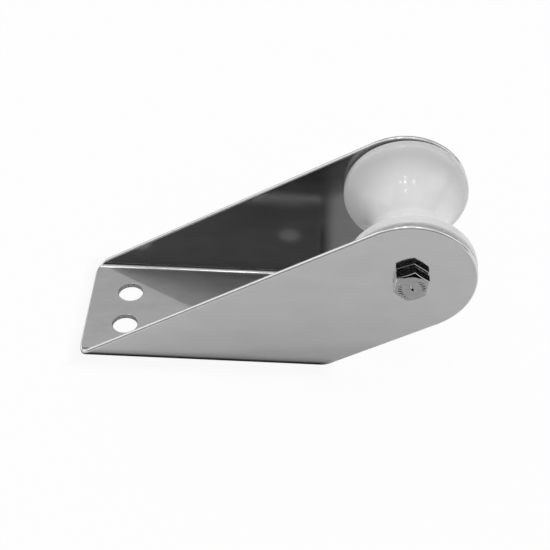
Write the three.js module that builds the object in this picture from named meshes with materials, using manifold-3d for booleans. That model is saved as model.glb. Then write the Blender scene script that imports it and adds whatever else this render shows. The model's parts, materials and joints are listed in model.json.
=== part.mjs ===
// Bow roller for a small boat: a folded stainless channel that is bolted to the foredeck and carries a
// nylon roller between its two cheeks, for the anchor rode to run over.
//
// Millimetres. The origin is on the underside of the base, midway between the rear deck-bolt holes.
// +X points forward to the roller, +Z up. The bolt head is on the -Y side and the nut on the +Y side.

import * as THREE from 'three';
import { mergeVertices } from 'three/addons/utils/BufferGeometryUtils.js';
import Module from 'manifold-3d';

const wasm = await Module();
wasm.setup();

// Folded sheet
const WIDTH = 72;
const SHEET = 2.8;
const BEND_INNER = 2.7;
const REAR_X = -21.2;
const REAR_CORNER_RADIUS = 12;

// Cheek: a straight arm of constant width that ends in a round nose
const ARM_ANGLE = THREE.MathUtils.degToRad(31.6);
const NOSE_X = 142.3;
const NOSE_Z = 64;
const NOSE_RADIUS = 33.3;

// Deck-bolt holes: a pair across the base at the rear and one on the centre line near the front
const DECK_HOLE_RADIUS = 6.6;
const DECK_HOLE_SPACING = 24;
const FRONT_HOLE_X = 84;

// Axle line and its M10 hardware
const AXLE_X = 143.6;
const AXLE_Z = 65.4;
const BOLT_RADIUS = 5;
const BOLT_LENGTH = 90;
const AXLE_HOLE_RADIUS = 5.5;
const HEX_ACROSS_FLATS = 16;
const HEX_FACE_RADIUS = 7;
const HEX_CHAMFER_ANGLE = THREE.MathUtils.degToRad(25);
const HEAD_HEIGHT = 6.4;
const HEAD_TURN = THREE.MathUtils.degToRad(-5.2);
const SEAT_FACE_RADIUS = 7.4;
const SEAT_FACE_HEIGHT = 0.4;
const NUT_HEX_HEIGHT = 8;
const NUT_HEIGHT = 11;
const NUT_TURN = THREE.MathUtils.degToRad(13);
const NUT_COLLAR_RADIUS = 7;
const NUT_COLLAR_CHAMFER = 1;
const INSERT_RADIUS = 6.2;
const INSERT_THICKNESS = 2;
const INSERT_DEPTH = 1;
const WASHER_RADIUS = 10;
const WASHER_THICKNESS = 2;
const THREAD_CHAMFER = 1;

// Roller, sleeve and thrust washers
const ROLLER_LENGTH = 63;
const FLANGE_RADIUS = 32;
const FLANGE_RIM = 5.4;
const RIM_ROUNDING = 1.2;
const WAIST_RADIUS = 19;
const SLEEVE_RADIUS = 7;
const THRUST_WASHER_RADIUS = 14;
const THRUST_WASHER_THICKNESS = 1;

// Clearances
const RUNNING_GAP = 0.3;
const SEAT_GAP = 0.05;

const BEND_OUTER = BEND_INNER + SHEET;
const CHEEK_INNER_Y = WIDTH / 2 - SHEET;

// Fineness of the round shapes, and how far joined bodies run into each other
const ROUND_SEGMENTS = 64;
const ROLLER_ARC_STEPS = 20;
const BEND_STEPS = 12;
const CORNER_STEPS = 10;
const NOSE_STEPS = 60;
const NOSE_TOP_TURN = 0.02;
const THINNEST_STRIP = 0.01;
const OVERLAP = 1;

const steel = (name, roughness) =>
  new THREE.MeshStandardMaterial({ name, color: 0xc9ccd0, roughness, metalness: 1 });
const nylon = (name, color) =>
  new THREE.MeshStandardMaterial({ name, color, roughness: 0.35, metalness: 0 });

const mirrorSteel = steel('mirror_steel', 0.08);
const boltSteel = steel('bolt_steel', 0.25);
const rollerNylon = nylon('roller_nylon', 0xeeeeec);
const insertNylon = nylon('insert_nylon', 0xdfe3e6);
const washerNylon = nylon('washer_nylon', 0xe4e4df);

// ---- Solids -------------------------------------------------------------------------------------

function toSolid(geometry) {
  const bare = geometry.clone();
  bare.deleteAttribute('normal');
  bare.deleteAttribute('uv');
  const merged = mergeVertices(bare, 1e-4);
  const mesh = new wasm.Mesh({
    numProp: 3,
    vertProperties: new Float32Array(merged.attributes.position.array),
    triVerts: new Uint32Array(merged.index.array),
  });
  return new wasm.Manifold(mesh);
}

function toGeometry(solid) {
  const mesh = solid.getMesh();
  const geometry = new THREE.BufferGeometry();
  geometry.setAttribute('position', new THREE.BufferAttribute(mesh.vertProperties, 3));
  geometry.setIndex(new THREE.BufferAttribute(mesh.triVerts, 1));
  geometry.computeVertexNormals();
  return geometry;
}

function part(name, geometry, material) {
  const mesh = new THREE.Mesh(geometry, material);
  mesh.name = name;
  return mesh;
}

// A solid of revolution about the axle. The profile is a closed list of [radius, y] points, listed so
// that y rises along the outside.
function turned(profile) {
  const points = profile.map(([radius, y]) => new THREE.Vector2(radius, y));
  points.push(points[0].clone());
  return new THREE.LatheGeometry(points, ROUND_SEGMENTS);
}

function ring(innerRadius, outerRadius, fromY, toY) {
  return turned([
    [innerRadius, fromY],
    [outerRadius, fromY],
    [outerRadius, toY],
    [innerRadius, toY],
  ]);
}

function rod(radius, length) {
  return new THREE.CylinderGeometry(radius, radius, length, ROUND_SEGMENTS);
}

// ---- Bracket ------------------------------------------------------------------------------------

// The flat blank is described by x, along the channel, and rise, the distance across the blank, which
// is the height z on a cheek. The bend and the base lie at smaller and negative rises.
const BEND_LENGTH = (Math.PI / 2) * (BEND_INNER + SHEET / 2);
const BASE_HALF = WIDTH / 2 - BEND_OUTER;
const BEND_START_RISE = BEND_OUTER - BEND_LENGTH;
const CENTRE_RISE = BEND_START_RISE - BASE_HALF;

const armSlope = Math.tan(ARM_ANGLE);
const tangentX = NOSE_RADIUS * Math.sin(ARM_ANGLE);
const tangentRise = NOSE_RADIUS * Math.cos(ARM_ANGLE);
const BASE_FRONT_X = NOSE_X + tangentX - (NOSE_Z - tangentRise) / armSlope;

// The corner where the rear edge meets the arm's upper edge is rounded.
const cornerRise = NOSE_Z + tangentRise - (NOSE_X - tangentX - REAR_X) * armSlope;
const cornerReach = REAR_CORNER_RADIUS * Math.tan((Math.PI / 2 - ARM_ANGLE) / 2);
const cornerCentreRise = cornerRise - cornerReach;
const cornerEndRise = cornerRise + cornerReach * Math.sin(ARM_ANGLE);

function noseHalfChord(rise) {
  return Math.sqrt(Math.max(0, NOSE_RADIUS ** 2 - (rise - NOSE_Z) ** 2));
}

function rearX(rise) {
  if (rise <= cornerCentreRise) return REAR_X;
  if (rise <= cornerEndRise) {
    const drop = rise - cornerCentreRise;
    return REAR_X + REAR_CORNER_RADIUS - Math.sqrt(REAR_CORNER_RADIUS ** 2 - drop ** 2);
  }
  if (rise <= NOSE_Z + tangentRise) return REAR_X + (rise - cornerRise) / armSlope;
  return NOSE_X - noseHalfChord(rise);
}

function frontX(rise) {
  if (rise <= 0) return BASE_FRONT_X;
  if (rise <= NOSE_Z - tangentRise) return BASE_FRONT_X + rise / armSlope;
  return NOSE_X + noseHalfChord(rise);
}

// Rises at which the sheet is cut into strips, from the middle of the base to the top of the nose.
function stripRises() {
  const rises = [CENTRE_RISE, BEND_START_RISE, 0];
  for (let i = 1; i <= BEND_STEPS; i += 1) rises.push(BEND_START_RISE + (BEND_LENGTH * i) / BEND_STEPS);
  for (let i = 0; i <= CORNER_STEPS; i += 1) {
    const turn = ((Math.PI / 2 - ARM_ANGLE) * i) / CORNER_STEPS;
    rises.push(cornerCentreRise + REAR_CORNER_RADIUS * Math.sin(turn));
  }
  const lowTurn = -Math.PI / 2 + ARM_ANGLE;
  const topTurn = Math.PI / 2 - NOSE_TOP_TURN;
  for (let i = 0; i <= NOSE_STEPS; i += 1) {
    const turn = lowTurn + ((topTurn - lowTurn) * i) / NOSE_STEPS;
    rises.push(NOSE_Z + NOSE_RADIUS * Math.sin(turn));
  }
  rises.sort((a, b) => a - b);
  return rises.filter((rise, i) => i === 0 || rise - rises[i - 1] > THINNEST_STRIP);
}

// Folds the blank: returns [y, z] for a rise and a height within the sheet, 0 outside and 1 inside.
function folded(rise, through) {
  const depth = through * SHEET;
  if (rise <= BEND_START_RISE) return [BASE_HALF + rise - BEND_START_RISE, depth];
  if (rise >= BEND_OUTER) return [WIDTH / 2 - depth, rise];
  const turn = (rise - BEND_START_RISE) / (BEND_INNER + SHEET / 2);
  const radius = BEND_OUTER - depth;
  return [BASE_HALF + radius * Math.sin(turn), BEND_OUTER - radius * Math.cos(turn)];
}

// A long box, cut into strips across the sheet, whose corners are moved onto the folded blank.
function foldedSheet() {
  const half = stripRises();
  const strips = [...half.map((rise) => [-1, rise]).reverse(), ...half.slice(1).map((rise) => [1, rise])];
  const count = strips.length - 1;
  const box = new THREE.BoxGeometry(1, count, 1, 1, count, 1);
  const at = box.attributes.position;
  for (let i = 0; i < at.count; i += 1) {
    const [side, rise] = strips[Math.round(at.getY(i) + count / 2)];
    const x = at.getX(i) < 0 ? rearX(rise) : frontX(rise);
    const [y, z] = folded(rise, at.getZ(i) < 0 ? 0 : 1);
    at.setXYZ(i, x, side * y, z);
  }
  return box;
}

function bracket() {
  let solid = toSolid(foldedSheet());
  const holeCentres = [
    [0, -DECK_HOLE_SPACING / 2],
    [0, DECK_HOLE_SPACING / 2],
    [FRONT_HOLE_X, 0],
  ];
  for (const [x, y] of holeCentres) {
    const deckHole = rod(DECK_HOLE_RADIUS, 4 * SHEET);
    deckHole.rotateX(Math.PI / 2);
    deckHole.translate(x, y, SHEET / 2);
    solid = solid.subtract(toSolid(deckHole));
  }
  const axleHole = rod(AXLE_HOLE_RADIUS, 2 * WIDTH);
  axleHole.translate(AXLE_X, 0, AXLE_Z);
  solid = solid.subtract(toSolid(axleHole));
  return part('bracket', toGeometry(solid), mirrorSteel);
}

// ---- Roller -------------------------------------------------------------------------------------

// The hollow between the flanges is one circular arc from rim to rim.
function roller() {
  const boreRadius = SLEEVE_RADIUS + RUNNING_GAP;
  const halfLength = ROLLER_LENGTH / 2;
  const rimY = halfLength - FLANGE_RIM;
  const depth = FLANGE_RADIUS - WAIST_RADIUS;
  const arcRadius = (rimY ** 2 + depth ** 2) / (2 * depth);
  const halfTurn = Math.asin(rimY / arcRadius);
  const profile = [
    [boreRadius, -halfLength],
    [FLANGE_RADIUS - RIM_ROUNDING, -halfLength],
    [FLANGE_RADIUS, -halfLength + RIM_ROUNDING],
  ];
  for (let i = 0; i <= ROLLER_ARC_STEPS; i += 1) {
    const turn = halfTurn * ((2 * i) / ROLLER_ARC_STEPS - 1);
    profile.push([WAIST_RADIUS + arcRadius * (1 - Math.cos(turn)), arcRadius * Math.sin(turn)]);
  }
  profile.push([FLANGE_RADIUS, halfLength - RIM_ROUNDING]);
  profile.push([FLANGE_RADIUS - RIM_ROUNDING, halfLength]);
  profile.push([boreRadius, halfLength]);
  return part('roller', turned(profile), rollerNylon);
}

function axleSleeve() {
  const halfLength = CHEEK_INNER_Y - SEAT_GAP;
  const geometry = ring(BOLT_RADIUS + RUNNING_GAP, SLEEVE_RADIUS, -halfLength, halfLength);
  return part('axle_sleeve', geometry, boltSteel);
}

// The thrust washers lie midway in the space between the roller's ends and the cheeks.
function thrustWasher(name, side) {
  const middle = (side * (CHEEK_INNER_Y + ROLLER_LENGTH / 2)) / 2;
  const half = THRUST_WASHER_THICKNESS / 2;
  const geometry = ring(SLEEVE_RADIUS + RUNNING_GAP, THRUST_WASHER_RADIUS, middle - half, middle + half);
  return part(name, geometry, washerNylon);
}

// ---- Bolt and nut -------------------------------------------------------------------------------

// A hexagonal prism about Y with a corner pointing up, between two heights.
function hexPrism(fromY, toY, turn) {
  const cornerRadius = HEX_ACROSS_FLATS / Math.sqrt(3);
  const prism = new THREE.CylinderGeometry(cornerRadius, cornerRadius, toY - fromY, 6);
  prism.rotateY(-turn);
  prism.translate(0, (fromY + toY) / 2, 0);
  return prism;
}

// A round body, wider than the hexagon, that takes the corners off the hexagon's end.
function chamferBody(flatY, endY) {
  const wideRadius = HEX_ACROSS_FLATS;
  const run = (wideRadius - HEX_FACE_RADIUS) * Math.tan(HEX_CHAMFER_ANGLE) * Math.sign(endY - flatY);
  const points = [
    new THREE.Vector2(0, endY),
    new THREE.Vector2(HEX_FACE_RADIUS, endY),
    new THREE.Vector2(wideRadius, endY - run),
    new THREE.Vector2(wideRadius, flatY),
    new THREE.Vector2(0, flatY),
  ];
  if (endY > flatY) points.reverse();
  return new THREE.LatheGeometry(points, ROUND_SEGMENTS);
}

function axleBolt() {
  const seatY = -WIDTH / 2 - SEAT_GAP;
  const hexY = seatY - SEAT_FACE_HEIGHT;
  const endY = seatY - HEAD_HEIGHT;
  const tipY = seatY + BOLT_LENGTH;
  const hex = toSolid(hexPrism(endY, hexY, HEAD_TURN));
  const head = hex.intersect(toSolid(chamferBody(hexY, endY)));
  const shank = new THREE.LatheGeometry(
    [
      new THREE.Vector2(0, hexY - OVERLAP),
      new THREE.Vector2(SEAT_FACE_RADIUS, hexY - OVERLAP),
      new THREE.Vector2(SEAT_FACE_RADIUS, seatY),
      new THREE.Vector2(BOLT_RADIUS, seatY),
      new THREE.Vector2(BOLT_RADIUS, tipY - THREAD_CHAMFER),
      new THREE.Vector2(BOLT_RADIUS - THREAD_CHAMFER, tipY),
      new THREE.Vector2(0, tipY),
    ],
    ROUND_SEGMENTS,
  );
  return part('axle_bolt', toGeometry(head.add(toSolid(shank))), boltSteel);
}

function nutWasher(seatY) {
  const innerRadius = BOLT_RADIUS + RUNNING_GAP;
  const geometry = ring(innerRadius, WASHER_RADIUS, seatY, seatY + WASHER_THICKNESS);
  return part('nut_washer', geometry, boltSteel);
}

// The nut is a chamfered hexagon with a round collar, which is rolled in over the locking ring.
function lockNut(seatY) {
  const boreRadius = BOLT_RADIUS + RUNNING_GAP;
  const hexTopY = seatY + NUT_HEX_HEIGHT;
  const endY = seatY + NUT_HEIGHT;
  const pocketY = endY - INSERT_DEPTH - INSERT_THICKNESS;
  const hex = toSolid(hexPrism(seatY, hexTopY, NUT_TURN));
  const upper = hex.intersect(toSolid(chamferBody(seatY, hexTopY)));
  const chamfered = upper.intersect(toSolid(chamferBody(hexTopY + OVERLAP, seatY)));
  const collar = new THREE.LatheGeometry(
    [
      new THREE.Vector2(0, hexTopY - OVERLAP),
      new THREE.Vector2(NUT_COLLAR_RADIUS, hexTopY - OVERLAP),
      new THREE.Vector2(NUT_COLLAR_RADIUS, endY - NUT_COLLAR_CHAMFER),
      new THREE.Vector2(NUT_COLLAR_RADIUS - NUT_COLLAR_CHAMFER, endY),
      new THREE.Vector2(0, endY),
    ],
    ROUND_SEGMENTS,
  );
  const bore = rod(boreRadius, 4 * NUT_HEIGHT);
  const pocket = rod(INSERT_RADIUS, NUT_HEIGHT);
  pocket.translate(0, pocketY + NUT_HEIGHT / 2, 0);
  bore.translate(0, seatY, 0);
  const solid = chamfered.add(toSolid(collar)).subtract(toSolid(bore)).subtract(toSolid(pocket));
  return part('lock_nut', toGeometry(solid), boltSteel);
}

function lockNutInsert(seatY) {
  const fromY = seatY + NUT_HEIGHT - INSERT_DEPTH - INSERT_THICKNESS + SEAT_GAP;
  const innerRadius = BOLT_RADIUS + SEAT_GAP;
  const outerRadius = INSERT_RADIUS - SEAT_GAP;
  const geometry = ring(innerRadius, outerRadius, fromY, fromY + INSERT_THICKNESS);
  return part('lock_nut_insert', geometry, insertNylon);
}

// ---- Assembly -----------------------------------------------------------------------------------

// Everything on the axle is turned about Y and moved to the axle line together.
function axleGroup() {
  const washerY = WIDTH / 2 + SEAT_GAP;
  const nutY = washerY + WASHER_THICKNESS + SEAT_GAP;
  const axle = new THREE.Group();
  axle.position.set(AXLE_X, 0, AXLE_Z);
  axle.add(
    roller(),
    axleSleeve(),
    thrustWasher('thrust_washer_head_side', -1),
    thrustWasher('thrust_washer_nut_side', 1),
    axleBolt(),
    nutWasher(washerY),
    lockNut(nutY),
    lockNutInsert(nutY),
  );
  return axle;
}

const bowRoller = new THREE.Group();
bowRoller.add(bracket(), axleGroup());

export default bowRoller;
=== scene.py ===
import json
import math

import bmesh
import bpy
from mathutils import Matrix, Vector


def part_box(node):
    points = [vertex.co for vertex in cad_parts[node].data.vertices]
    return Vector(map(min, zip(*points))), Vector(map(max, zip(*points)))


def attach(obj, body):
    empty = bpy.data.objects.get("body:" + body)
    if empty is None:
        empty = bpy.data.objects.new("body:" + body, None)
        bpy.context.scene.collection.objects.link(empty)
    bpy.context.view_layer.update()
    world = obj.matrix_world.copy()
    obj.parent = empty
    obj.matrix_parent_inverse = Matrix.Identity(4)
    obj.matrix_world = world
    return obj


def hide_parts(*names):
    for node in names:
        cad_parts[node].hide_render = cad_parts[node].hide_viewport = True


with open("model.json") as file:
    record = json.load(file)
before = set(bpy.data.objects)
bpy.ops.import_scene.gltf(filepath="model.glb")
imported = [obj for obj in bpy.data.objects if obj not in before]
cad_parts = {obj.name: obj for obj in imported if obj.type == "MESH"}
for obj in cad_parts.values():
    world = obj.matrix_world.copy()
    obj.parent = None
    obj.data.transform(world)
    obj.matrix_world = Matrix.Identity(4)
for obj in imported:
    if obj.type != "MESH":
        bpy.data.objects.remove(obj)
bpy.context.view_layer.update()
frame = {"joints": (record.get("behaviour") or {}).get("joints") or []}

# A bow roller: folded mirror-polished stainless channel, white nylon roller, M10 axle bolt with its nut.
# Metres, in the part's own frame: +X forward to the roller, +Z up, deck-bolt holes on either side of x = 0.

MM = 0.001

# ---- Sizes that the frame gives ------------------------------------------------------------------

bracket_low, bracket_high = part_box("bracket")
roller_low, roller_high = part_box("roller")
bolt_low, bolt_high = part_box("axle_bolt")
AXLE = Vector(frame["joints"][0]["pos_m"])
HALF_WIDTH = bracket_high.y
REAR_X = bracket_low.x
FLANGE_RADIUS = (roller_high.z - roller_low.z) / 2
ROLLER_HALF = roller_high.y

# ---- Sizes of the sheet --------------------------------------------------------------------------

SHEET = 2.8 * MM
BEND_INNER = 2.7 * MM
BEND_OUTER = BEND_INNER + SHEET
BEND_MIDDLE = BEND_INNER + SHEET / 2
NOSE_RADIUS = 33.3 * MM
ARM_ANGLE = math.radians(31.6)
REAR_CORNER_RADIUS = 12 * MM
DECK_HOLE_RADIUS = 6.6 * MM
DECK_HOLE_SPACING = 24 * MM
FRONT_HOLE_X = 84 * MM
AXLE_HOLE_RADIUS = 5.5 * MM
EDGE_ROUNDING = 1.15 * MM
HOLE_ROUNDING = 0.35 * MM
HOLE_SEGMENTS = 96
EDGE_STEPS = 6
CUT_EDGE_SHARE = 0.9
JUST_PROUD = 0.002 * MM

NOSE_X = bracket_high.x - NOSE_RADIUS
NOSE_Z = bracket_high.z - NOSE_RADIUS

# ---- Sizes of the hardware -----------------------------------------------------------------------

BOLT_RADIUS = 5 * MM
ACROSS_FLATS = 16 * MM
HEX_CORNER_ROUNDING = 0.12 * MM
FLAT_EDGE_ROUNDING = 0.45 * MM
BACK_EDGE_ROUNDING = 0.8 * MM
FACE_RADIUS = 7 * MM
CHAMFER_SLOPE = math.tan(math.radians(25))
HEAD_HEIGHT = 6.4 * MM
SEAT_RADIUS = 7.4 * MM
SEAT_FACE_HEIGHT = 0.4 * MM
HEAD_TURN = math.radians(-5.2)
NUT_TURN = math.radians(13)
NUT_HEX_HEIGHT = 8 * MM
NUT_COLLAR_RADIUS = 7 * MM
NUT_LIP_RADIUS = 6.1 * MM
NUT_LIP_HEIGHT = 1.2 * MM
NUT_BORE_GAP = 0.06 * MM
INSERT_ROOM_RADIUS = 6.2 * MM
INSERT_FLOOR_DEPTH = 3.05 * MM
STROKE_GROUPS = ((160, 8), (-8, 5))
STROKE_STEP_DEG = 14
STROKE_RADIUS = 5.6 * MM
STROKE_LENGTH = 1.9 * MM
STROKE_WIDTH = 0.55 * MM
STROKE_DEPTH = 0.45 * MM
STROKE_SLANT = 0.35
DIMPLE_SIZE = Matrix.Diagonal((2.4 * MM, 1.5 * MM, 0.7 * MM, 1))
DIMPLE_SLANT = math.radians(58)
THREAD_PITCH = 1.5 * MM
THREAD_DEPTH = 0.9 * MM
THREAD_LENGTH = 26 * MM


# ---- Mesh helpers --------------------------------------------------------------------------------

def piece_from(name, verts, faces):
    mesh = bpy.data.meshes.new(name)
    mesh.from_pydata([tuple(v) for v in verts], [], faces)
    mesh.update()
    piece = bpy.data.objects.new(name, mesh)
    bpy.context.scene.collection.objects.link(piece)
    return piece


def clean(piece, merge=0.001 * MM):
    """Joins doubled corners and points every face outwards."""
    bm = bmesh.new()
    bm.from_mesh(piece.data)
    bmesh.ops.remove_doubles(bm, verts=bm.verts, dist=merge)
    bmesh.ops.recalc_face_normals(bm, faces=bm.faces)
    bm.to_mesh(piece.data)
    bm.free()


def apply_modifiers(piece):
    graph = bpy.context.evaluated_depsgraph_get()
    graph.update()
    mesh = bpy.data.meshes.new_from_object(piece.evaluated_get(graph))
    old = piece.data
    piece.modifiers.clear()
    piece.data = mesh
    bpy.data.meshes.remove(old)
    mesh.name = piece.name


def shade_smooth(piece):
    """Smooth shading in which flat faces stay flat, because large faces set the corner normals."""
    piece.data.polygons.foreach_set("use_smooth", [True] * len(piece.data.polygons))
    weighted = piece.modifiers.new("weighted_normals", "WEIGHTED_NORMAL")
    weighted.mode = "FACE_AREA"
    weighted.weight = 50
    weighted.keep_sharp = False
    apply_modifiers(piece)


def swept(name, rings, closed_profile):
    """A body about the axle from rings of points, one ring per angle. Each ring runs along the profile."""
    verts = [p for ring in rings for p in ring]
    size = len(rings[0])
    faces = []
    spans = size if closed_profile else size - 1
    for i in range(len(rings)):
        here, there = i * size, ((i + 1) % len(rings)) * size
        for j in range(spans):
            k = (j + 1) % size
            faces.append((here + j, here + k, there + k, there + j))
    piece = piece_from(name, verts, faces)
    clean(piece)
    return piece


def around_axle(radius, y, angle):
    """Angle 0 is towards +X and a quarter turn towards +Z."""
    return AXLE + Vector((radius * math.cos(angle), y, radius * math.sin(angle)))


def turned(name, profile, segments=128):
    """A solid of revolution about the axle. The profile is a closed loop of (radius, y)."""
    rings = []
    for i in range(segments):
        angle = 2 * math.pi * i / segments
        rings.append([around_axle(r, y, angle) for r, y in profile])
    return swept(name, rings, True)


def rounded(profile, radius, steps=4):
    """Rounds every corner of a closed (radius, y) loop."""
    out = []
    count = len(profile)
    for i in range(count):
        corner = Vector(profile[i])
        before = Vector(profile[i - 1]) - corner
        after = Vector(profile[(i + 1) % count]) - corner
        reach = min(radius, 0.45 * before.length, 0.45 * after.length)
        start = corner + before.normalized() * reach
        end = corner + after.normalized() * reach
        for s in range(steps + 1):
            t = s / steps
            out.append(tuple(start * (1 - t) ** 2 + corner * 2 * t * (1 - t) + end * t ** 2))
    return out


def ring_piece(name, inner, outer, from_y, to_y, rounding):
    loop = [(inner, from_y), (outer, from_y), (outer, to_y), (inner, to_y)]
    return turned(name, rounded(loop, rounding))


# ---- Bracket -------------------------------------------------------------------------------------
# The flat blank is described by x and by rise, the distance across the blank, which is the height z
# on a cheek. The bend and the base lie at smaller and negative rises.

BEND_LENGTH = math.pi / 2 * BEND_MIDDLE
BASE_HALF = HALF_WIDTH - BEND_OUTER
BEND_START_RISE = BEND_OUTER - BEND_LENGTH
CENTRE_RISE = BEND_START_RISE - BASE_HALF
SLOPE = math.tan(ARM_ANGLE)
TANGENT_X = NOSE_RADIUS * math.sin(ARM_ANGLE)
TANGENT_RISE = NOSE_RADIUS * math.cos(ARM_ANGLE)
BASE_FRONT_X = NOSE_X + TANGENT_X - (NOSE_Z - TANGENT_RISE) / SLOPE
CORNER_RISE = NOSE_Z + TANGENT_RISE - (NOSE_X - TANGENT_X - REAR_X) * SLOPE
CORNER_REACH = REAR_CORNER_RADIUS * math.tan((math.pi / 2 - ARM_ANGLE) / 2)
CORNER_CENTRE_RISE = CORNER_RISE - CORNER_REACH


def offset_half_chord(rise, inset):
    return math.sqrt(max(0.0, (NOSE_RADIUS - inset) ** 2 - (rise - NOSE_Z) ** 2))


def rear_x(rise, inset):
    """The rear and upper outline of the blank at one rise, moved inwards by inset."""
    corner = REAR_CORNER_RADIUS - inset
    drop = rise - CORNER_CENTRE_RISE
    if drop <= 0:
        return REAR_X + inset
    if drop <= corner * math.cos(ARM_ANGLE):
        return REAR_X + REAR_CORNER_RADIUS - math.sqrt(corner ** 2 - drop ** 2)
    if rise <= NOSE_Z + (NOSE_RADIUS - inset) * math.cos(ARM_ANGLE):
        return REAR_X + (rise - CORNER_RISE) / SLOPE + inset / math.sin(ARM_ANGLE)
    return NOSE_X - offset_half_chord(rise, inset)


def front_x(rise, inset):
    """The front and lower outline of the blank at one rise, moved inwards by inset."""
    if rise > NOSE_Z - (NOSE_RADIUS - inset) * math.cos(ARM_ANGLE):
        return NOSE_X + offset_half_chord(rise, inset)
    return BASE_FRONT_X + max(-inset, rise / SLOPE - inset / math.sin(ARM_ANGLE))


def strip_rises():
    """Rises at which the sheet is cut into strips, from the middle of the base to the top of the nose."""
    rises = [CENTRE_RISE, BEND_START_RISE, 0.0]
    bend_steps = 28
    rises += [BEND_START_RISE + BEND_LENGTH * i / bend_steps for i in range(1, bend_steps + 1)]
    corner_steps = 20
    for i in range(corner_steps + 1):
        turn = (math.pi / 2 - ARM_ANGLE) * i / corner_steps
        rises.append(CORNER_CENTRE_RISE + REAR_CORNER_RADIUS * math.sin(turn))
    nose_steps = 110
    low_turn = ARM_ANGLE - math.pi / 2
    for i in range(nose_steps + 1):
        turn = low_turn + (math.pi / 2 - low_turn) * i / nose_steps
        rises.append(NOSE_Z + NOSE_RADIUS * math.sin(turn))
    rises.sort()
    kept = [rises[0]]
    for rise in rises[1:]:
        if rise - kept[-1] > 0.005 * MM:
            kept.append(rise)
    return kept


def folded(rise, depth):
    """(y, z) of a point of the blank, depth below its outer surface."""
    if rise <= BEND_START_RISE:
        return BASE_HALF + rise - BEND_START_RISE, depth
    if rise >= BEND_OUTER:
        return HALF_WIDTH - depth, rise
    turn = (rise - BEND_START_RISE) / BEND_MIDDLE
    radius = BEND_OUTER - depth
    return BASE_HALF + radius * math.sin(turn), BEND_OUTER - radius * math.cos(turn)


def edge_profile():
    """(inset, depth) pairs round the edge of the sheet, from its outer surface to its inner one."""
    outer = []
    for i in range(EDGE_STEPS + 1):
        turn = math.pi / 2 * i / EDGE_STEPS
        outer.append((EDGE_ROUNDING * (1 - math.sin(turn)), EDGE_ROUNDING * (1 - math.cos(turn))))
    return outer + [(inset, SHEET - depth) for inset, depth in reversed(outer)]


def folded_sheet():
    half = strip_rises()
    strips = [(-1, rise) for rise in reversed(half)] + [(1, rise) for rise in half[1:]]
    profile = edge_profile()
    size = 2 * len(profile)
    verts = []
    for side, rise in strips:
        loop = [(rear_x, inset, depth) for inset, depth in profile]
        loop += [(front_x, inset, depth) for inset, depth in reversed(profile)]
        for outline, inset, depth in loop:
            own_rise = rise
            if rise > NOSE_Z:
                own_rise = NOSE_Z + (rise - NOSE_Z) * (1 - inset / NOSE_RADIUS)
            y, z = folded(own_rise, depth)
            verts.append((outline(own_rise, inset), side * y, z))
    faces = []
    for start in range(0, len(verts) - size, size):
        for j in range(size):
            k = (j + 1) % size
            faces.append((start + j, start + k, start + size + k, start + size + j))
    piece = piece_from("folded_bracket", verts, faces)
    clean(piece)
    return piece


def add_hole_body(bm, radius, place):
    """Adds the body that a hole with rounded rims leaves out of the sheet, centred in its thickness."""
    wide = radius + HOLE_ROUNDING
    rim = []
    for i in range(EDGE_STEPS + 1):
        turn = math.pi / 2 * i / EDGE_STEPS
        drop = HOLE_ROUNDING * (1 - math.sin(turn)) - JUST_PROUD
        rim.append((wide - HOLE_ROUNDING * math.cos(turn), SHEET / 2 - drop))
    rim.append((wide, 2 * SHEET))
    profile = [(r, -z) for r, z in reversed(rim)] + rim
    rings = []
    for r, z in profile:
        angles = [2 * math.pi * i / HOLE_SEGMENTS for i in range(HOLE_SEGMENTS)]
        rings.append([bm.verts.new(place @ Vector((r * math.cos(a), r * math.sin(a), z))) for a in angles])
    for low, high in zip(rings, rings[1:]):
        for i in range(HOLE_SEGMENTS):
            j = (i + 1) % HOLE_SEGMENTS
            bm.faces.new((low[i], low[j], high[j], high[i]))
    bm.faces.new(list(reversed(rings[0])))
    bm.faces.new(rings[-1])


def subtract(piece, bm):
    """Cuts the bodies in bm out of the piece and frees bm."""
    mesh = bpy.data.meshes.new("cutter")
    bm.to_mesh(mesh)
    bm.free()
    cutter = bpy.data.objects.new("cutter", mesh)
    bpy.context.scene.collection.objects.link(cutter)
    cut = piece.modifiers.new("hole", "BOOLEAN")
    cut.object = cutter
    cut.solver = "EXACT"
    apply_modifiers(piece)
    bpy.data.objects.remove(cutter)


def dissolve_flats(piece):
    bm = bmesh.new()
    bm.from_mesh(piece.data)
    bmesh.ops.dissolve_limit(
        bm, angle_limit=math.radians(0.05), verts=bm.verts, edges=bm.edges, use_dissolve_boundaries=False
    )
    bm.to_mesh(piece.data)
    bm.free()


def through_sheet(point):
    """The direction through the thickness of the sheet at a point of the bracket."""
    if point.z > BEND_OUTER:
        return Vector((0, 1, 0))
    if abs(point.y) < BASE_HALF:
        return Vector((0, 0, 1))
    side = math.copysign(BASE_HALF, point.y)
    return Vector((0, point.y - side, point.z - BEND_OUTER)).normalized()


def in_deck(point):
    """True well inside the outline of the base, where only the holes have walls."""
    inside_x = REAR_X + SHEET < point.x < BASE_FRONT_X - SHEET
    return inside_x and abs(point.y) < BASE_HALF and point.z < BEND_OUTER


def mark_cut_edges(piece):
    """Faces across the sheet's thickness are not polished. The outline is ground and takes the second
    material slot, the walls of the deck holes are as drilled, painted darker as shade, and take the third."""
    for face in piece.data.polygons:
        if abs(face.normal.dot(through_sheet(face.center))) < CUT_EDGE_SHARE:
            face.material_index = 2 if in_deck(face.center) else 1


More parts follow.
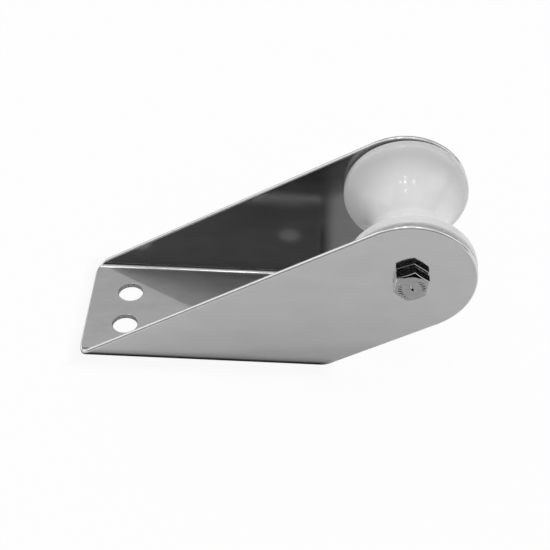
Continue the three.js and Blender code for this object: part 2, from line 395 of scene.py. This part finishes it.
def build_bracket():
    piece = folded_sheet()
    dissolve_flats(piece)
    holes = bmesh.new()
    for x, y in ((0, -DECK_HOLE_SPACING / 2), (0, DECK_HOLE_SPACING / 2), (FRONT_HOLE_X, 0)):
        add_hole_body(holes, DECK_HOLE_RADIUS, Matrix.Translation((x, y, SHEET / 2)))
    across = Matrix.Rotation(math.pi / 2, 4, "X")
    for side in (-1, 1):
        middle = Vector((AXLE.x, side * (HALF_WIDTH - SHEET / 2), AXLE.z))
        add_hole_body(holes, AXLE_HOLE_RADIUS, Matrix.Translation(middle) @ across)
    subtract(piece, holes)
    mark_cut_edges(piece)
    shade_smooth(piece)
    return piece


# ---- Roller --------------------------------------------------------------------------------------

FLANGE_RIM = 5.4 * MM
RIM_ROUNDING = 0.8 * MM
WAIST_RADIUS = 19 * MM
RUNNING_GAP = 0.3 * MM
SLEEVE_RADIUS = 7 * MM


def build_roller():
    """The hollow between the flanges is one circular arc from rim to rim, blended into the rims."""
    bore = SLEEVE_RADIUS + RUNNING_GAP
    rim_y = ROLLER_HALF - FLANGE_RIM
    depth = FLANGE_RADIUS - WAIST_RADIUS
    arc_radius = (rim_y ** 2 + depth ** 2) / (2 * depth)
    half_turn = math.asin(rim_y / arc_radius)
    steps = 48
    arc = []
    for i in range(steps + 1):
        turn = half_turn * (2 * i / steps - 1)
        arc.append((WAIST_RADIUS + arc_radius * (1 - math.cos(turn)), arc_radius * math.sin(turn)))
    corners = [(bore, -ROLLER_HALF), (FLANGE_RADIUS, -ROLLER_HALF)]
    corners += [(FLANGE_RADIUS, -rim_y), (FLANGE_RADIUS, rim_y)]
    corners += [(FLANGE_RADIUS, ROLLER_HALF), (bore, ROLLER_HALF)]
    eased = rounded(corners, RIM_ROUNDING, 6)
    per_corner = len(eased) // len(corners)
    low_side, high_side = eased[: 2 * per_corner], eased[4 * per_corner:]
    profile = low_side + ease_rim(arc) + high_side
    piece = turned("nylon_roller", profile, 192)
    shade_smooth(piece)
    return piece


def ease_rim(arc):
    """Takes the sharp meeting of arc and rim off with a small round at both ends."""
    reach = 2.2 * MM
    out = [p for p in arc if abs(p[1]) < arc[-1][1] - reach]
    for sign, end in ((-1, arc[0]), (1, arc[-1])):
        corner = Vector(end)
        inner = Vector(out[0] if sign < 0 else out[-1])
        rim = Vector((FLANGE_RADIUS, end[1] + sign * reach))
        curve = []
        for s in range(7):
            t = s / 6
            curve.append(tuple(inner * (1 - t) ** 2 + corner * 2 * t * (1 - t) + rim * t ** 2))
        if sign < 0:
            out = list(reversed(curve))[:-1] + out
        else:
            out = out + curve[1:]
    return out


# ---- Bolt, nut and washers -----------------------------------------------------------------------

def hex_radius(angle, turn):
    """Distance from the axis to a hexagon with eased corners, one corner of which points up."""
    sector = math.pi / 3
    from_corner = (angle - turn - math.pi / 2 + sector / 2) % sector - sector / 2
    apothem = ACROSS_FLATS / 2
    flat = apothem / math.cos(sector / 2 - abs(from_corner))
    centre = (apothem - HEX_CORNER_ROUNDING) / math.cos(sector / 2)
    swing = HEX_CORNER_ROUNDING ** 2 - (centre * math.sin(from_corner)) ** 2
    if swing <= 0:
        return flat
    return min(flat, centre * math.cos(from_corner) + math.sqrt(swing))


def hex_angles(turn):
    """Angles that crowd round the hexagon's corners, where the outline turns."""
    angles = []
    steps = 32
    for corner in range(6):
        for i in range(steps):
            t = 2 * i / steps - 1
            offset = math.pi / 6 * math.copysign(abs(t) ** 1.8, t)
            angles.append(turn + math.pi / 2 + corner * math.pi / 3 + offset)
    return angles


def chamfer_points(radius, end_y, inward):
    """The end face's edge, the chamfer and its rounded meeting with the flat, at one angle."""
    corner = Vector((radius, (radius - FACE_RADIUS) * CHAMFER_SLOPE))
    before = (Vector((FACE_RADIUS, 0)) - corner).normalized() * FLAT_EDGE_ROUNDING
    after = Vector((0, FLAT_EDGE_ROUNDING))
    points = [(FACE_RADIUS - 0.3 * MM, 0), (FACE_RADIUS, 0.02 * MM), (FACE_RADIUS + 0.15 * MM, 0.09 * MM)]
    for i in range(EDGE_STEPS + 1):
        t = i / EDGE_STEPS
        points.append(tuple(corner + before * (1 - t) ** 2 + after * t ** 2))
    return [(r, end_y + inward * y) for r, y in points]


def thread_radius(angle, y, start_y, tip_y):
    """Radius of a single-start thread, running out at its start and chamfered at the bolt's end."""
    phase = ((y - start_y) / THREAD_PITCH + angle / (2 * math.pi)) % 1.0
    wave = min(max(1.7 * (1 - abs(2 * phase - 1)) - 0.28, 0.0), 1.0)
    run_out = min(max((y - start_y) / (1.5 * THREAD_PITCH), 0.0), 1.0)
    radius = BOLT_RADIUS - THREAD_DEPTH * (1 - wave) * run_out
    cone = BOLT_RADIUS - 1.1 * MM + (tip_y - y)
    return min(radius, cone)


def build_bolt():
    seat_y = bolt_low.y + HEAD_HEIGHT
    end_y = bolt_low.y
    hex_y = seat_y - SEAT_FACE_HEIGHT
    tip_y = bolt_high.y
    thread_y = tip_y - THREAD_LENGTH
    rows = int(THREAD_LENGTH / THREAD_PITCH * 12)
    rings = []
    for angle in hex_angles(HEAD_TURN):
        radius = hex_radius(angle, HEAD_TURN)
        profile = [(0, end_y)] + chamfer_points(radius, end_y, 1)
        for i in range(EDGE_STEPS + 1):
            turn = math.pi / 2 * i / EDGE_STEPS
            back = BACK_EDGE_ROUNDING
            profile.append((radius - back * (1 - math.cos(turn)), hex_y - back * (1 - math.sin(turn))))
        profile += [(SEAT_RADIUS, hex_y), (SEAT_RADIUS, seat_y), (BOLT_RADIUS, seat_y)]
        profile.append((BOLT_RADIUS, thread_y))
        for i in range(1, rows + 1):
            y = thread_y + THREAD_LENGTH * i / rows
            profile.append((thread_radius(angle, y, thread_y, tip_y), y))
        profile.append((0, tip_y))
        rings.append([around_axle(r, y, angle) for r, y in profile])
    piece = swept("hex_axle_bolt", rings, False)
    dissolve_flats(piece)
    stamp_head(piece)
    shade_smooth(piece)
    return piece


def stamp_head(piece):
    """Short plain strokes sunk round the head's face, and an oval dimple in its centre."""
    bm = bmesh.new()
    for start_deg, count in STROKE_GROUPS:
        for i in range(count):
            angle = math.radians(start_deg + STROKE_STEP_DEG * i)
            place = Matrix.Translation(around_axle(STROKE_RADIUS, bolt_low.y, angle))
            lie = Matrix.Rotation(-angle + STROKE_SLANT, 4, "Y")
            size = Matrix.Diagonal((STROKE_LENGTH, 2 * STROKE_DEPTH, STROKE_WIDTH, 1))
            bmesh.ops.create_cube(bm, size=1, matrix=place @ lie @ size)
    above = Matrix.Translation(AXLE + Vector((0, bolt_low.y, 0)))
    slant = Matrix.Rotation(DIMPLE_SLANT, 4, "Y")
    bmesh.ops.create_icosphere(bm, subdivisions=4, radius=1, matrix=above @ slant @ DIMPLE_SIZE)
    subtract(piece, bm)


def build_lock_nut():
    low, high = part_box("lock_nut")
    seat_y, end_y = low.y, high.y
    hex_top = seat_y + NUT_HEX_HEIGHT
    bore = BOLT_RADIUS + NUT_BORE_GAP
    collar, lip = NUT_COLLAR_RADIUS, NUT_LIP_RADIUS
    shoulder_y = end_y - NUT_LIP_HEIGHT
    floor_y = end_y - INSERT_FLOOR_DEPTH
    rings = []
    for angle in hex_angles(NUT_TURN):
        radius = hex_radius(angle, NUT_TURN)
        profile = [(bore, seat_y + 0.6 * MM), (bore + 0.6 * MM, seat_y)]
        profile += chamfer_points(radius, seat_y, 1)
        profile += reversed(chamfer_points(radius, hex_top, -1))
        profile += [(collar + 0.25 * MM, hex_top), (collar, hex_top + 0.25 * MM)]
        for i in range(7):
            turn = math.pi / 2 * i / 6
            out = lip + (collar - lip) * math.cos(turn)
            profile.append((out, shoulder_y + NUT_LIP_HEIGHT * math.sin(turn)))
        profile += [(lip - 0.35 * MM, end_y - 0.25 * MM), (lip - 0.3 * MM, end_y - 0.75 * MM)]
        profile += [(INSERT_ROOM_RADIUS, end_y - 0.85 * MM), (INSERT_ROOM_RADIUS, floor_y), (bore, floor_y)]
        rings.append([around_axle(r, y, angle) for r, y in profile])
    piece = swept("self_locking_nut", rings, True)
    shade_smooth(piece)
    return piece


def build_ring_like(name, node, rounding, inner):
    """A ring with the CAD ring's outer size and its own bore."""
    low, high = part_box(node)
    outer = (high.z - low.z) / 2
    piece = ring_piece(name, inner, outer, low.y, high.y, rounding)
    shade_smooth(piece)
    return piece


# ---- Node graphs ---------------------------------------------------------------------------------

class Graph:
    """Short names for building a node tree. Values are sockets or plain numbers."""

    def __init__(self, tree):
        self.tree = tree
        self.place = tree.nodes.new("ShaderNodeTexCoord")

    def put(self, value, target):
        """Links a socket or sets a number, which becomes a grey where the target is a colour."""
        if isinstance(value, bpy.types.NodeSocket):
            self.tree.links.new(value, target)
        else:
            target.default_value = value

    def scaled(self, x, y, z):
        mapping = self.tree.nodes.new("ShaderNodeMapping")
        mapping.inputs["Scale"].default_value = (x, y, z)
        self.put(self.place.outputs["Object"], mapping.inputs["Vector"])
        return mapping.outputs["Vector"]

    def noise(self, vector, scale, detail=4.0, roughness=0.5):
        node = self.tree.nodes.new("ShaderNodeTexNoise")
        node.inputs["Scale"].default_value = scale
        node.inputs["Detail"].default_value = detail
        node.inputs["Roughness"].default_value = roughness
        self.put(vector, node.inputs["Vector"])
        return node.outputs["Fac"]

    def ramp(self, value, from_low, from_high, to_low, to_high, kind="LINEAR"):
        node = self.tree.nodes.new("ShaderNodeMapRange")
        node.interpolation_type = kind
        ends = {"From Min": from_low, "From Max": from_high, "To Min": to_low, "To Max": to_high}
        for key, number in ends.items():
            self.put(number, node.inputs[key])
        self.put(value, node.inputs["Value"])
        return node.outputs["Result"]

    def sum_of(self, first, *others):
        for other in others:
            first = self.math("ADD", first, other)
        return first

    def math(self, operation, *values):
        node = self.tree.nodes.new("ShaderNodeMath")
        node.operation = operation
        for value, target in zip(values, node.inputs):
            self.put(value, target)
        return node.outputs[0]

    def split(self, vector):
        node = self.tree.nodes.new("ShaderNodeSeparateXYZ")
        self.put(vector, node.inputs["Vector"])
        return node.outputs

    def colour_mix(self, value, low, high):
        node = self.tree.nodes.new("ShaderNodeMix")
        node.data_type = "RGBA"
        node.inputs["A"].default_value = (low, low, low, 1)
        node.inputs["B"].default_value = (high, high, high, 1)
        self.put(value, node.inputs["Factor"])
        return node.outputs["Result"]

    def bump(self, height, strength, distance, normal=None):
        node = self.tree.nodes.new("ShaderNodeBump")
        node.inputs["Strength"].default_value = strength
        node.inputs["Distance"].default_value = distance
        self.put(height, node.inputs["Height"])
        if normal is not None:
            self.put(normal, node.inputs["Normal"])
        return node.outputs["Normal"]

    def mix_shaders(self, share, a, b):
        node = self.tree.nodes.new("ShaderNodeMixShader")
        self.put(share, node.inputs["Fac"])
        self.put(a, node.inputs[1])
        self.put(b, node.inputs[2])
        return node.outputs["Shader"]

    def ray(self, kind):
        return self.tree.nodes.new("ShaderNodeLightPath").outputs[kind]

    def principled(self, **values):
        node = self.tree.nodes.new("ShaderNodeBsdfPrincipled")
        for key, value in values.items():
            self.put(value, node.inputs[key.replace("_", " ")])
        return node.outputs["BSDF"]


def new_material(name):
    material = bpy.data.materials.new(name)
    material.use_nodes = True
    material.node_tree.nodes.clear()
    return material, Graph(material.node_tree)


def set_surface(graph, shader):
    out = graph.tree.nodes.new("ShaderNodeOutputMaterial")
    graph.put(shader, out.inputs["Surface"])


# ---- Materials -----------------------------------------------------------------------------------

OUTER_BRIGHTNESS = 0.54
# The darker colour inside the channel is painted shade.
INNER_BRIGHTNESS = 0.27
# The lighter colour of the base's upward faces is painted light.
BASE_BRIGHTNESS = 0.62
OUTER_HAZE = 0.03
INNER_HAZE = 0.11
BASE_HAZE = 0.58
INNER_BLUR = 0.07
FOLD_BLUR = 0.12


def hazy_steel(graph, colour, sharp, broad, haze, normal):
    """Polished metal: a sharp reflection with a faint broad haze over it."""
    mirror = graph.principled(Base_Color=colour, Metallic=1.0, Roughness=sharp, Normal=normal)
    veil = graph.principled(Base_Color=colour, Metallic=1.0, Roughness=broad, Normal=normal)
    set_surface(graph, graph.mix_shaders(haze, mirror, veil))


def polished_steel():
    """Mirror-polished sheet: fine buffing lines along the channel, a slight waviness, faint smears. The
    faces inside the channel are duller and painted darker than those outside (painted shade), the base has
    the most haze and a lighter colour (painted light), and the folds are a little uneven from the press and
    painted lighter (a painted highlight)."""
    material, g = new_material("mirror_steel")
    smear = g.noise(g.scaled(9, 22, 22), 6, 3, 0.6)
    lines = g.noise(g.scaled(14, 900, 900), 5, 3, 0.7)
    wave = g.noise(g.scaled(1, 1, 1), 26, 1, 0.4)
    creases = g.noise(g.scaled(1, 2, 2), 110, 3, 0.6)
    facing, at = g.split(g.place.outputs["Normal"]), g.split(g.place.outputs["Object"])
    outward = g.math("MULTIPLY", facing["Y"], g.math("SIGN", at["Y"]))
    level = g.ramp(facing["Z"], 0.8, 0.98, 0.0, 1.0)
    inside = g.ramp(outward, -0.75, -0.97, 0.0, 1.0)
    straight = g.math("MAXIMUM", g.math("ABSOLUTE", facing["Y"]), g.math("ABSOLUTE", facing["Z"]))
    # Marks the folds; their lighter colour below is a painted highlight.
    fold = g.ramp(straight, 0.998, 0.93, 0.0, 1.0)
    # Painted shade: faces inside the channel are darker wherever no diffuse bounce came first.
    inner_painted_shade = g.math("MULTIPLY", inside, g.math("LESS_THAN", g.ray("Diffuse Depth"), 0.5))
    smeared = g.ramp(smear, 0.3, 0.7, OUTER_BRIGHTNESS - 0.02, OUTER_BRIGHTNESS + 0.02)
    colour = g.sum_of(
        smeared,
        # painted shade inside the channel
        g.ramp(inner_painted_shade, 0.0, 1.0, 0.0, INNER_BRIGHTNESS - OUTER_BRIGHTNESS),
        # painted light on upward faces
        g.ramp(level, 0.0, 1.0, 0.0, BASE_BRIGHTNESS - OUTER_BRIGHTNESS),
        # a painted highlight along the folds
        g.ramp(fold, 0.0, 1.0, 0.0, 0.2),
    )
    sharp = g.sum_of(
        g.ramp(smear, 0.3, 0.7, 0.05, 0.1),
        g.ramp(inside, 0.0, 1.0, 0.0, INNER_BLUR),
        g.ramp(fold, 0.0, 1.0, 0.0, FOLD_BLUR),
    )
    haze = g.sum_of(
        g.ramp(smear, 0.3, 0.7, OUTER_HAZE - 0.02, OUTER_HAZE + 0.03),
        g.ramp(inside, 0.0, 1.0, 0.0, INNER_HAZE - OUTER_HAZE),
        g.ramp(level, 0.0, 1.0, 0.0, BASE_HAZE - OUTER_HAZE),
    )
    fine = g.bump(lines, 0.02, 0.02 * MM)
    uneven = g.bump(g.math("MULTIPLY", creases, fold), 0.25, 0.4 * MM, fine)
    hazy_steel(g, colour, sharp, 0.5, haze, g.bump(wave, 0.03, 0.4 * MM, uneven))
    return material


def ground_edge():
    """The sheet's cut edge, dressed on a belt and buffed: a pale satin with faint grain along the edge."""
    material, g = new_material("ground_steel_edge")
    grain = g.noise(g.scaled(120, 900, 120), 1, 3, 0.6)
    colour = g.colour_mix(grain, 0.86, 0.94)
    normal = g.bump(grain, 0.02, 0.02 * MM)
    sharp = g.ramp(grain, 0.3, 0.7, 0.04, 0.08)
    mirror = g.principled(Base_Color=colour, Metallic=1.0, Roughness=sharp, Normal=normal)
    satin = g.principled(Base_Color=colour, Metallic=0.2, Roughness=0.6, Normal=normal)
    set_surface(g, g.mix_shaders(0.45, mirror, satin))
    return material


def fastener_steel(name, bright, roughness, haze, end_darkening=0.0):
    """Cold-formed stainless: a soft sheen with small dents and drawing marks. The end faces of a bolt or
    nut can be given a darker colour than its flats."""
    material, g = new_material(name)
    blotch = g.noise(g.scaled(1, 1, 1), 420, 4, 0.6)
    dents = g.noise(g.scaled(1, 1, 1), 900, 2, 0.5)
    along = g.math("ABSOLUTE", g.split(g.place.outputs["Normal"])["Y"])
    # End faces are given a darker colour.
    end = g.ramp(along, 0.84, 0.90, 0.0, end_darkening)
    colour = g.math("SUBTRACT", g.ramp(blotch, 0.2, 0.8, bright - 0.07, bright + 0.04), end)
    sharp = g.ramp(blotch, 0.35, 0.65, roughness, roughness + 0.06)
    hazy_steel(g, colour, sharp, 0.5, haze, g.bump(dents, 0.06, 0.04 * MM))
    return material


# A painted glow: the nylon gives off faint light of its own, in place of light carried round from its lit
# side.
PAINTED_NYLON_GLOW = 0.085


def moulded_nylon(name, low, high, roughness, rim_shade_depth=0.0):
    """White nylon: slightly translucent, with a satin skin and faint turning rings, and a faint painted
    glow.
    The rims of a wheel can be given painted shade, darker than its waist, most on the nut-side flange."""
    material, g = new_material(name)
    cloud = g.noise(g.scaled(1, 1, 1), 38, 3, 0.55)
    skin = g.noise(g.scaled(1, 1, 1), 900, 3, 0.6)
    rings = g.noise(g.scaled(0.02, 900, 0.02), 1, 2, 0.5)
    fine = g.bump(skin, 0.05, 0.05 * MM)
    at = g.split(g.place.outputs["Object"])
    sideways, upwards = g.math("SUBTRACT", at["X"], AXLE.x), g.math("SUBTRACT", at["Z"], AXLE.z)
    out = g.math("SQRT", g.math("ADD", g.math("POWER", sideways, 2), g.math("POWER", upwards, 2)))
    # Painted shade: darker towards the rims, most on the nut-side flange.
    painted_rim_shade = g.ramp(out, 0.72 * FLANGE_RADIUS, 0.98 * FLANGE_RADIUS, 0.0, rim_shade_depth)
    painted_rim_shade = g.math("MULTIPLY", painted_rim_shade, g.ramp(at["Y"], -0.8 * ROLLER_HALF, 0.2 * ROLLER_HALF, 0.25, 1.0))
    shader = g.principled(
        Base_Color=g.math("SUBTRACT", g.ramp(cloud, 0.3, 0.7, low, high), painted_rim_shade),
        Roughness=g.ramp(skin, 0.3, 0.7, roughness - 0.04, roughness + 0.06),
        IOR=1.53,
        Specular_IOR_Level=0.3,
        Subsurface_Weight=0.9,
        Subsurface_Radius=(1.0, 1.0, 1.0),
        Subsurface_Scale=7.0 * MM,
        # Painted glow: the nylon gives off faint light of its own.
        Emission_Strength=PAINTED_NYLON_GLOW,
        Normal=g.bump(rings, 0.06, 0.05 * MM, fine),
    )
    set_surface(g, shader)
    return material


def dress(piece, body, node, slot, *materials):
    for material in materials:
        piece.data.materials.append(material)
    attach(piece, body)
    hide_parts(node)


# ---- Studio --------------------------------------------------------------------------------------

# Strengths of the light from each side. A background node's own grey takes a fifth of them away.
STUDIO_DARK = 0.004
BACK_WALL_LIGHT = 0.58
CEILING_LIGHT = 0.6
LEFT_WALL_LIGHT = 1.5
LEFT_WALL_SLOPE = 0.94
RIGHT_CARD_LIGHT = 1.6
DOME_LIGHT = 0.38
DOME_TOP_LIGHT = 0.66
BACKDROP_LIGHT = 1.25

# Lamps above the roller: x, y, width and power. The first gives the bright glint, the others faint ones.
LAMP_HEIGHT = 1.1
LAMP_TARGET = Vector((0.07, 0, 0.03))
LAMPS = (
    (-0.005, 0.18, 0.04, 0.6),
    (-0.22, 0.18, 0.1, 0.25),
    (0.33, 0.18, 0.1, 0.3),
    (0.0, 0.50, 0.1, 0.2),
    (0.0, 0.02, 0.1, 0.3),
)

FLOOR_SIZE = 6.0
FLOOR_DROP = 0.15 * MM
FLOOR_GLOW = 0.94
CONTACT_SHADE = 0.04
CONTACT_REACH = 9 * MM
HOLE_LIGHT = 0.8
HOLE_LIGHT_DEPTH = 8 * MM
HOLE_LIGHT_FADE = 2 * MM


def contact_shade(g):
    """1 on the open floor, falling off towards and under the rim of the base, where hardly any light
    reaches. Further in, light comes down through the deck holes."""
    at = g.split(g.place.outputs["Object"])
    from_middle = g.math("SUBTRACT", at["X"], (REAR_X + BASE_FRONT_X) / 2)
    beyond_x = g.math("SUBTRACT", g.math("ABSOLUTE", from_middle), (BASE_FRONT_X - REAR_X) / 2)
    beyond_y = g.math("SUBTRACT", g.math("ABSOLUTE", at["Y"]), HALF_WIDTH)
    beyond = g.math("MAXIMUM", beyond_x, beyond_y)
    outside = g.ramp(beyond, 0.5 * MM, CONTACT_REACH, CONTACT_SHADE, 1.0, "SMOOTHSTEP")
    fade_end = -HOLE_LIGHT_DEPTH - HOLE_LIGHT_FADE
    under_holes = g.ramp(beyond, -HOLE_LIGHT_DEPTH, fade_end, 0.0, HOLE_LIGHT)
    return g.math("MAXIMUM", outside, under_holes)


def build_floor():
    """Pale paper. The camera sees it lit from below as well, which keeps its shadows faint."""
    half = FLOOR_SIZE / 2
    corners = [(-half, -half), (half, -half), (half, half), (-half, half)]
    floor = piece_from("floor", [(x, y, -FLOOR_DROP) for x, y in corners], [(0, 1, 2, 3)])
    material, g = new_material("floor_paper")
    grain = g.noise(g.scaled(1, 1, 1), 700, 3, 0.6)
    albedo = g.math("MULTIPLY", g.ramp(grain, 0.3, 0.7, 0.9, 0.93), contact_shade(g))
    paper = g.tree.nodes.new("ShaderNodeBsdfDiffuse")
    g.put(albedo, paper.inputs["Color"])
    paper = paper.outputs["BSDF"]
    glow = g.tree.nodes.new("ShaderNodeEmission").outputs["Emission"]
    set_surface(g, g.mix_shaders(g.math("MULTIPLY", g.ray("Is Camera Ray"), FLOOR_GLOW), paper, glow))
    floor.data.materials.append(material)


def lobe(g, x, y, z, inner_deg, outer_deg, strength):
    """A round patch of light in the direction (x, y, z), fading from inner_deg to outer_deg off it."""
    aim = Vector((x, y, z)).normalized()
    dot = g.tree.nodes.new("ShaderNodeVectorMath")
    dot.operation = "DOT_PRODUCT"
    dot.inputs[1].default_value = aim
    g.put(g.place.outputs["Generated"], dot.inputs[0])
    near, far = math.cos(math.radians(inner_deg)), math.cos(math.radians(outer_deg))
    return g.ramp(dot.outputs["Value"], far, near, 0.0, strength, "SMOOTHSTEP")


def background(g, strength):
    node = g.tree.nodes.new("ShaderNodeBackground")
    g.put(strength, node.inputs["Strength"])
    return node.outputs["Background"]


def build_world():
    """Diffuse light comes from a soft pale dome, brightest overhead and towards the back. Reflections see
    a dark studio with a grey wall behind, a bright ceiling, a bright wall on the left and a card on the
    right. The camera itself sees a pale backdrop."""
    world = bpy.data.worlds.new("studio")
    bpy.context.scene.world = world
    world.use_nodes = True
    world.node_tree.nodes.clear()
    g = Graph(world.node_tree)
    towards = g.split(g.place.outputs["Generated"])
    wall = g.ramp(towards["Z"], 0.58, 0.66, 0.0, BACK_WALL_LIGHT, "SMOOTHSTEP")
    behind = g.ramp(towards["Y"], -0.1, 0.3, 0.3, 1.0, "SMOOTHSTEP")
    ceiling = g.ramp(towards["Z"], 0.70, 0.88, 0.0, CEILING_LIGHT, "SMOOTHSTEP")
    sloping = g.math("SUBTRACT", towards["Z"], g.math("MULTIPLY", towards["X"], LEFT_WALL_SLOPE))
    left = g.ramp(towards["X"], -0.50, -0.56, 0.0, LEFT_WALL_LIGHT, "SMOOTHSTEP")
    left = g.math("MULTIPLY", left, g.ramp(sloping, 0.82, 0.86, 0.0, 1.0, "SMOOTHSTEP"))
    left = g.math("MULTIPLY", left, g.ramp(towards["Y"], 0.1, 0.3, 0.0, 1.0, "SMOOTHSTEP"))
    right = lobe(g, 0.86, 0.0, 0.50, 10, 26, RIGHT_CARD_LIGHT)
    studio = g.sum_of(STUDIO_DARK, g.math("MULTIPLY", wall, behind), ceiling, left, right)
    dome = g.sum_of(DOME_LIGHT, lobe(g, 0.2, 0.1, 1.0, 10, 125, DOME_TOP_LIGHT))
    mirrored = g.math("MULTIPLY", g.ray("Is Glossy Ray"), g.math("LESS_THAN", g.ray("Diffuse Depth"), 0.5))
    seen = g.mix_shaders(mirrored, background(g, dome), background(g, studio))
    seen = g.mix_shaders(g.ray("Is Camera Ray"), seen, background(g, BACKDROP_LIGHT))
    out = g.tree.nodes.new("ShaderNodeOutputWorld")
    g.put(seen, out.inputs["Surface"])


def add_area_light(name, place, size, power):
    light = bpy.data.lights.new(name, "AREA")
    light.shape = "RECTANGLE"
    light.size, light.size_y = size
    light.energy = power
    lamp = bpy.data.objects.new(name, light)
    lamp.location = place
    lamp.rotation_mode = "QUATERNION"
    lamp.rotation_quaternion = (LAMP_TARGET - Vector(place)).to_track_quat("-Z", "Y")
    bpy.context.scene.collection.objects.link(lamp)
    return lamp


# The camera looks down at 43 degrees from the bolt-head side, turned and tilted very slightly.
CAMERA_YAW = math.radians(-1.3)
CAMERA_PITCH = math.radians(42.75)
CAMERA_ROLL = math.radians(-1.6)
CAMERA_DISTANCE = 0.62015
CAMERA_AIM = Vector((0.07823, -0.0087, 0.0391))
CAMERA_LENS = 79.95


def build_camera():
    data = bpy.data.cameras.new("camera")
    data.lens = CAMERA_LENS
    data.sensor_width = 36
    data.clip_start = 0.01
    camera = bpy.data.objects.new("camera", data)
    bpy.context.scene.collection.objects.link(camera)
    flat = math.cos(CAMERA_PITCH)
    forward = Vector((math.sin(CAMERA_YAW) * flat, math.cos(CAMERA_YAW) * flat, -math.sin(CAMERA_PITCH)))
    level = Vector((math.cos(CAMERA_YAW), -math.sin(CAMERA_YAW), 0))
    down = forward.cross(level)
    right = level * math.cos(CAMERA_ROLL) + down * math.sin(CAMERA_ROLL)
    up = forward.cross(right) * -1
    turn = Matrix((right, up, -forward)).transposed()
    camera.matrix_world = Matrix.Translation(CAMERA_AIM - forward * CAMERA_DISTANCE) @ turn.to_4x4()
    bpy.context.scene.camera = camera


# ---- Assembly ------------------------------------------------------------------------------------

mirror, edge = polished_steel(), ground_edge()
# Drilled hole walls: their darker colour is painted shade.
hole_wall_painted_shade_metal = fastener_steel("drilled_steel_painted_shade", 0.42, 0.25, 0.3)
bolt_metal = fastener_steel("bolt_steel", 0.75, 0.05, 0.0, 0.38)
washer_metal = fastener_steel("washer_steel", 0.56, 0.18, 0.1)
sleeve_metal = fastener_steel("sleeve_steel", 0.58, 0.22, 0.1)
# The last number is the depth of painted shade on the roller's rims.
white_nylon = moulded_nylon("roller_nylon", 0.71, 0.74, 0.11, 0.16)
washer_nylon = moulded_nylon("washer_nylon", 0.72, 0.78, 0.42)
insert_nylon = moulded_nylon("insert_nylon", 0.68, 0.76, 0.34)

dress(build_bracket(), "mounting", "bracket", "mirror_steel", mirror, edge, hole_wall_painted_shade_metal)
dress(build_roller(), "roller_wheel", "roller", "roller_nylon", white_nylon)
dress(build_bolt(), "mounting", "axle_bolt", "bolt_steel", bolt_metal)
dress(build_lock_nut(), "mounting", "lock_nut", "bolt_steel", bolt_metal)

rings = (
    ("sleeve_tube", "axle_sleeve", "bolt_steel", sleeve_metal, 0.3, BOLT_RADIUS + RUNNING_GAP),
    ("flat_washer", "nut_washer", "bolt_steel", washer_metal, 0.25, BOLT_RADIUS + RUNNING_GAP),
    ("nylon_locking_ring", "lock_nut_insert", "insert_nylon", insert_nylon, 0.2, BOLT_RADIUS + 0.05 * MM),
    ("thrust_ring_head_side", "thrust_washer_head_side", "washer_nylon", washer_nylon, 0.15,
     SLEEVE_RADIUS + RUNNING_GAP),
    ("thrust_ring_nut_side", "thrust_washer_nut_side", "washer_nylon", washer_nylon, 0.15,
     SLEEVE_RADIUS + RUNNING_GAP),
)
for name, node, slot, material, rounding, inner in rings:
    dress(build_ring_like(name, node, rounding * MM, inner), "mounting", node, slot, material)

build_floor()
build_world()
for x, y, size, power in LAMPS:
    add_area_light("ceiling_light", (x, y, LAMP_HEIGHT), (size, size), power)
build_camera()

scene = bpy.context.scene
scene.view_settings.view_transform = "Standard"
scene.cycles.use_denoising = True
